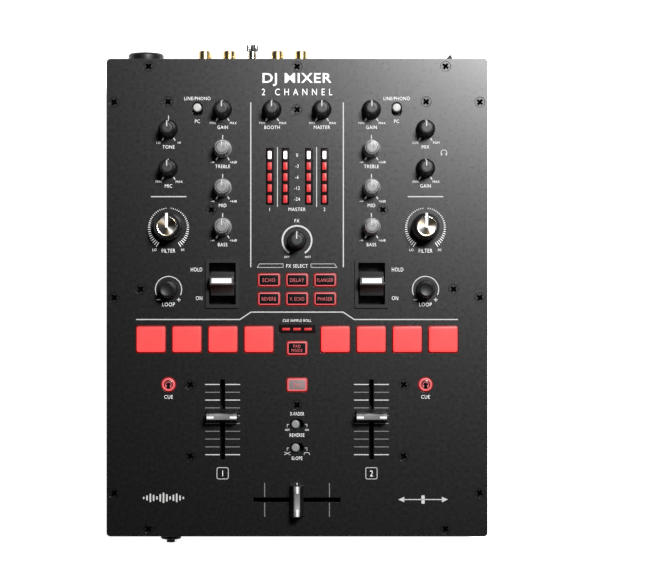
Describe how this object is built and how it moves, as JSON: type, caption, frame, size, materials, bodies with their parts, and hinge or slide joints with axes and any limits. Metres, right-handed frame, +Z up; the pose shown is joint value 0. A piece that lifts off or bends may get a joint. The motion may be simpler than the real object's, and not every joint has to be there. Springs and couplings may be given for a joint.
{
  "type": "dj mixer",
  "caption": "Compact scratch DJ mixer: flat black case with rotary knobs, channel faders, crossfader, effect paddles, lit pads and rear sockets.",
  "frame": {"origin": "centre of the bounding box's bottom face, on the surface the feet stand on", "axes": "+X to the player's right, +Y from the player to the rear sockets, +Z up out of the control panel"},
  "size_m": [0.254, 0.3378, 0.107],
  "materials": {
    "panel_black": "satin black powder coat",
    "chassis_black": "satin black powder coat",
    "board_green": "solder mask",
    "steel": "zinc plated",
    "socket_black": "moulded",
    "meter_lens": "smoked",
    "knob_black": "satin moulded",
    "knob_silver": "silver",
    "filter_metal": "spun",
    "pad_red": "backlit translucent",
    "button_red": "backlit",
    "button_grey": "translucent",
    "fader_black": "satin",
    "switch_white": "moulded",
    "paddle_metal": "metallised",
    "nickel": "nickel plated",
    "rubber_black": "matt",
    "legend_white": "screen printed ink",
    "brass_gold": "gold-plated",
    "screw_black": "black oxide",
    "led_red": "lit",
    "led_white": "lit"
  },
  "bodies": {
    "chassis": {"top_plate": "panel_black", "chassis_tray": "chassis_black", "control_board": "board_green", "crossfader_unit": "steel", "jack_board": "board_green", "mic_jack": "socket_black", "phones_jack": "socket_black", "power_switch_housing": "socket_black", "meter_window": "meter_lens"},
    "tone_knob": {"tone_knob": "knob_black"},
    "mic_knob": {"mic_knob": "knob_black"},
    "mix_knob": {"mix_knob": "knob_black"},
    "phones_knob": {"phones_knob": "knob_black"},
    "booth_knob": {"booth_knob": "knob_black"},
    "master_knob": {"master_knob": "knob_black"},
    "fx_knob": {"fx_knob": "knob_black"},
    "gain_knob_1": {"gain_knob_1": "knob_black"},
    "treble_knob_1": {"treble_knob_1": "knob_silver"},
    "mid_knob_1": {"mid_knob_1": "knob_silver"},
    "bass_knob_1": {"bass_knob_1": "knob_silver"},
    "filter_knob_1": {"filter_knob_1": "filter_metal"},
    "gain_knob_2": {"gain_knob_2": "knob_black"},
    "treble_knob_2": {"treble_knob_2": "knob_silver"},
    "mid_knob_2": {"mid_knob_2": "knob_silver"},
    "bass_knob_2": {"bass_knob_2": "knob_silver"},
    "filter_knob_2": {"filter_knob_2": "filter_metal"},
    "loop_rotor_1": {"loop_rotor_1": "steel"},
    "loop_knob_1": {"loop_knob_1": "knob_black"},
    "loop_rotor_2": {"loop_rotor_2": "steel"},
    "loop_knob_2": {"loop_knob_2": "knob_black"},
    "pad_1": {"pad_1": "pad_red"},
    "pad_2": {"pad_2": "pad_red"},
    "pad_3": {"pad_3": "pad_red"},
    "pad_4": {"pad_4": "pad_red"},
    "pad_5": {"pad_5": "pad_red"},
    "pad_6": {"pad_6": "pad_red"},
    "pad_7": {"pad_7": "pad_red"},
    "pad_8": {"pad_8": "pad_red"},
    "fx_button_1": {"fx_button_1": "button_red"},
    "fx_button_2": {"fx_button_2": "button_red"},
    "fx_button_3": {"fx_button_3": "button_red"},
    "fx_button_4": {"fx_button_4": "button_red"},
    "fx_button_5": {"fx_button_5": "button_red"},
    "fx_button_6": {"fx_button_6": "button_red"},
    "pad_mode_button": {"pad_mode_button": "button_red"},
    "tap_button": {"tap_button": "button_grey"},
    "cue_button_1": {"cue_button_1": "button_red"},
    "cue_button_2": {"cue_button_2": "button_red"},
    "fader_cap_1": {"fader_cap_1": "fader_black"},
    "fader_cap_2": {"fader_cap_2": "fader_black"},
    "crossfader_cap": {"crossfader_cap": "fader_black"},
    "input_switch_1": {"input_switch_1": "switch_white"},
    "input_switch_2": {"input_switch_2": "switch_white"},
    "reverse_switch": {"reverse_switch": "switch_white"},
    "slope_switch": {"slope_switch": "switch_white"},
    "paddle_1": {"paddle_1": "paddle_metal"},
    "paddle_2": {"paddle_2": "paddle_metal"},
    "power_rocker": {"power_rocker": "socket_black"},
    "ground_washer": {"ground_washer": "nickel"},
    "ground_nut": {"ground_nut": "nickel"}
  },
  "joints": [
    {"name": "tone_knob_turn", "type": "hinge", "parent": "chassis", "child": "tone_knob", "pos_m": [-0.08565, 0.1095, 0.09], "axis": [0, 0, 1], "range_deg": [-150, 150]},
    {"name": "mic_knob_turn", "type": "hinge", "parent": "chassis", "child": "mic_knob", "pos_m": [-0.08565, 0.0835, 0.09], "axis": [0, 0, 1], "range_deg": [-150, 150]},
    {"name": "mix_knob_turn", "type": "hinge", "parent": "chassis", "child": "mix_knob", "pos_m": [0.08565, 0.1095, 0.09], "axis": [0, 0, 1], "range_deg": [-150, 150]},
    {"name": "phones_knob_turn", "type": "hinge", "parent": "chassis", "child": "phones_knob", "pos_m": [0.08565, 0.0835, 0.09], "axis": [0, 0, 1], "range_deg": [-150, 150]},
    {"name": "booth_knob_turn", "type": "hinge", "parent": "chassis", "child": "booth_knob", "pos_m": [-0.0166, 0.1226, 0.09], "axis": [0, 0, 1], "range_deg": [-150, 150]},
    {"name": "master_knob_turn", "type": "hinge", "parent": "chassis", "child": "master_knob", "pos_m": [0.0166, 0.1226, 0.09], "axis": [0, 0, 1], "range_deg": [-150, 150]},
    {"name": "fx_knob_turn", "type": "hinge", "parent": "chassis", "child": "fx_knob", "pos_m": [0, 0.0354, 0.09], "axis": [0, 0, 1], "range_deg": [-150, 150]},
    {"name": "gain_knob_1_turn", "type": "hinge", "parent": "chassis", "child": "gain_knob_1", "pos_m": [-0.0496, 0.1226, 0.09], "axis": [0, 0, 1], "range_deg": [-150, 150]},
    {"name": "treble_knob_1_turn", "type": "hinge", "parent": "chassis", "child": "treble_knob_1", "pos_m": [-0.0496, 0.0965, 0.09], "axis": [0, 0, 1], "range_deg": [-150, 150]},
    {"name": "mid_knob_1_turn", "type": "hinge", "parent": "chassis", "child": "mid_knob_1", "pos_m": [-0.0496, 0.0705, 0.09], "axis": [0, 0, 1], "range_deg": [-150, 150]},
    {"name": "bass_knob_1_turn", "type": "hinge", "parent": "chassis", "child": "bass_knob_1", "pos_m": [-0.0496, 0.0444, 0.09], "axis": [0, 0, 1], "range_deg": [-150, 150]},
    {"name": "filter_knob_1_turn", "type": "hinge", "parent": "chassis", "child": "filter_knob_1", "pos_m": [-0.08565, 0.0444, 0.09], "axis": [0, 0, 1], "range_deg": [-150, 150]},
    {"name": "gain_knob_2_turn", "type": "hinge", "parent": "chassis", "child": "gain_knob_2", "pos_m": [0.0496, 0.1226, 0.09], "axis": [0, 0, 1], "range_deg": [-150, 150]},
    {"name": "treble_knob_2_turn", "type": "hinge", "parent": "chassis", "child": "treble_knob_2", "pos_m": [0.0496, 0.0965, 0.09], "axis": [0, 0, 1], "range_deg": [-150, 150]},
    {"name": "mid_knob_2_turn", "type": "hinge", "parent": "chassis", "child": "mid_knob_2", "pos_m": [0.0496, 0.0705, 0.09], "axis": [0, 0, 1], "range_deg": [-150, 150]},
    {"name": "bass_knob_2_turn", "type": "hinge", "parent": "chassis", "child": "bass_knob_2", "pos_m": [0.0496, 0.0444, 0.09], "axis": [0, 0, 1], "range_deg": [-150, 150]},
    {"name": "filter_knob_2_turn", "type": "hinge", "parent": "chassis", "child": "filter_knob_2", "pos_m": [0.08565, 0.0444, 0.09], "axis": [0, 0, 1], "range_deg": [-150, 150]},
    {"name": "loop_rotor_1_turn", "type": "hinge", "parent": "chassis", "child": "loop_rotor_1", "pos_m": [-0.08565, 0.0027, 0.09], "axis": [0, 0, 1], "continuous": true},
    {"name": "loop_knob_1_push", "type": "slide", "parent": "loop_rotor_1", "child": "loop_knob_1", "axis": [0, 0, -1], "range_m": [0, 0.0005], "stiffness_N_per_m": 800, "springref_m": -0.001},
    {"name": "loop_rotor_2_turn", "type": "hinge", "parent": "chassis", "child": "loop_rotor_2", "pos_m": [0.08565, 0.0027, 0.09], "axis": [0, 0, 1], "continuous": true},
    {"name": "loop_knob_2_push", "type": "slide", "parent": "loop_rotor_2", "child": "loop_knob_2", "axis": [0, 0, -1], "range_m": [0, 0.0005], "stiffness_N_per_m": 800, "springref_m": -0.001},
    {"name": "pad_1_press", "type": "slide", "parent": "chassis", "child": "pad_1", "axis": [0, 0, -1], "range_m": [0, 0.0012], "stiffness_N_per_m": 500, "springref_m": -0.001},
    {"name": "pad_2_press", "type": "slide", "parent": "chassis", "child": "pad_2", "axis": [0, 0, -1], "range_m": [0, 0.0012], "stiffness_N_per_m": 500, "springref_m": -0.001},
    {"name": "pad_3_press", "type": "slide", "parent": "chassis", "child": "pad_3", "axis": [0, 0, -1], "range_m": [0, 0.0012], "stiffness_N_per_m": 500, "springref_m": -0.001},
    {"name": "pad_4_press", "type": "slide", "parent": "chassis", "child": "pad_4", "axis": [0, 0, -1], "range_m": [0, 0.0012], "stiffness_N_per_m": 500, "springref_m": -0.001},
    {"name": "pad_5_press", "type": "slide", "parent": "chassis", "child": "pad_5", "axis": [0, 0, -1], "range_m": [0, 0.0012], "stiffness_N_per_m": 500, "springref_m": -0.001},
    {"name": "pad_6_press", "type": "slide", "parent": "chassis", "child": "pad_6", "axis": [0, 0, -1], "range_m": [0, 0.0012], "stiffness_N_per_m": 500, "springref_m": -0.001},
    {"name": "pad_7_press", "type": "slide", "parent": "chassis", "child": "pad_7", "axis": [0, 0, -1], "range_m": [0, 0.0012], "stiffness_N_per_m": 500, "springref_m": -0.001},
    {"name": "pad_8_press", "type": "slide", "parent": "chassis", "child": "pad_8", "axis": [0, 0, -1], "range_m": [0, 0.0012], "stiffness_N_per_m": 500, "springref_m": -0.001},
    {"name": "fx_button_1_press", "type": "slide", "parent": "chassis", "child": "fx_button_1", "axis": [0, 0, -1], "range_m": [0, 0.001], "stiffness_N_per_m": 450, "springref_m": -0.001},
    {"name": "fx_button_2_press", "type": "slide", "parent": "chassis", "child": "fx_button_2", "axis": [0, 0, -1], "range_m": [0, 0.001], "stiffness_N_per_m": 450, "springref_m": -0.001},
    {"name": "fx_button_3_press", "type": "slide", "parent": "chassis", "child": "fx_button_3", "axis": [0, 0, -1], "range_m": [0, 0.001], "stiffness_N_per_m": 450, "springref_m": -0.001},
    {"name": "fx_button_4_press", "type": "slide", "parent": "chassis", "child": "fx_button_4", "axis": [0, 0, -1], "range_m": [0, 0.001], "stiffness_N_per_m": 450, "springref_m": -0.001},
    {"name": "fx_button_5_press", "type": "slide", "parent": "chassis", "child": "fx_button_5", "axis": [0, 0, -1], "range_m": [0, 0.001], "stiffness_N_per_m": 450, "springref_m": -0.001},
    {"name": "fx_button_6_press", "type": "slide", "parent": "chassis", "child": "fx_button_6", "axis": [0, 0, -1], "range_m": [0, 0.001], "stiffness_N_per_m": 450, "springref_m": -0.001},
    {"name": "pad_mode_button_press", "type": "slide", "parent": "chassis", "child": "pad_mode_button", "axis": [0, 0, -1], "range_m": [0, 0.001], "stiffness_N_per_m": 450, "springref_m": -0.001},
    {"name": "tap_button_press", "type": "slide", "parent": "chassis", "child": "tap_button", "axis": [0, 0, -1], "range_m": [0, 0.001], "stiffness_N_per_m": 450, "springref_m": -0.001},
    {"name": "cue_button_1_press", "type": "slide", "parent": "chassis", "child": "cue_button_1", "axis": [0, 0, -1], "range_m": [0, 0.001], "stiffness_N_per_m": 450, "springref_m": -0.001},
    {"name": "cue_button_2_press", "type": "slide", "parent": "chassis", "child": "cue_button_2", "axis": [0, 0, -1], "range_m": [0, 0.001], "stiffness_N_per_m": 450, "springref_m": -0.001},
    {"name": "fader_1_slide", "type": "slide", "parent": "chassis", "child": "fader_cap_1", "axis": [0, 1, 0], "range_m": [-0.0251, 0.0199]},
    {"name": "fader_2_slide", "type": "slide", "parent": "chassis", "child": "fader_cap_2", "axis": [0, 1, 0], "range_m": [-0.0251, 0.0199]},
    {"name": "crossfader_slide", "type": "slide", "parent": "chassis", "child": "crossfader_cap", "axis": [1, 0, 0], "range_m": [-0.0225, 0.0225]},
    {"name": "input_switch_1_slide", "type": "slide", "parent": "chassis", "child": "input_switch_1", "axis": [0, 1, 0], "range_m": [-0.002, 0]},
    {"name": "input_switch_2_slide", "type": "slide", "parent": "chassis", "child": "input_switch_2", "axis": [0, 1, 0], "range_m": [-0.002, 0]},
    {"name": "reverse_switch_slide", "type": "slide", "parent": "chassis", "child": "reverse_switch", "axis": [1, 0, 0], "range_m": [0, 0.002]},
    {"name": "slope_switch_slide", "type": "slide", "parent": "chassis", "child": "slope_switch", "axis": [1, 0, 0], "range_m": [0, 0.002]},
    {"name": "paddle_1_tilt", "type": "hinge", "parent": "chassis", "child": "paddle_1", "pos_m": [-0.0497, 0.0066, 0.082], "axis": [1, 0, 0], "range_deg": [-15, 15], "stiffness_Nm_per_rad": 0.2},
    {"name": "paddle_2_tilt", "type": "hinge", "parent": "chassis", "child": "paddle_2", "pos_m": [0.0497, 0.0066, 0.082], "axis": [1, 0, 0], "range_deg": [-15, 15], "stiffness_Nm_per_rad": 0.2},
    {"name": "power_rocker_tilt", "type": "hinge", "parent": "chassis", "child": "power_rocker", "pos_m": [0.1007, 0.14975, 0.065], "axis": [0, 0, 1], "range_deg": [0, 28]},
    {"name": "ground_nut_turn", "type": "hinge", "parent": "ground_washer", "child": "ground_nut", "pos_m": [-0.0307, 0.1653, 0.065], "axis": [0, 1, 0], "range_deg": [0, 1080]},
    {"name": "ground_washer_slide", "type": "slide", "parent": "chassis", "child": "ground_washer", "axis": [0, 1, 0], "range_m": [0, 0.0021]}
  ],
  "couplings": [
    {"joint": "ground_nut_turn", "follows": "ground_washer_slide", "rad_per_m": 8976}
  ]
}
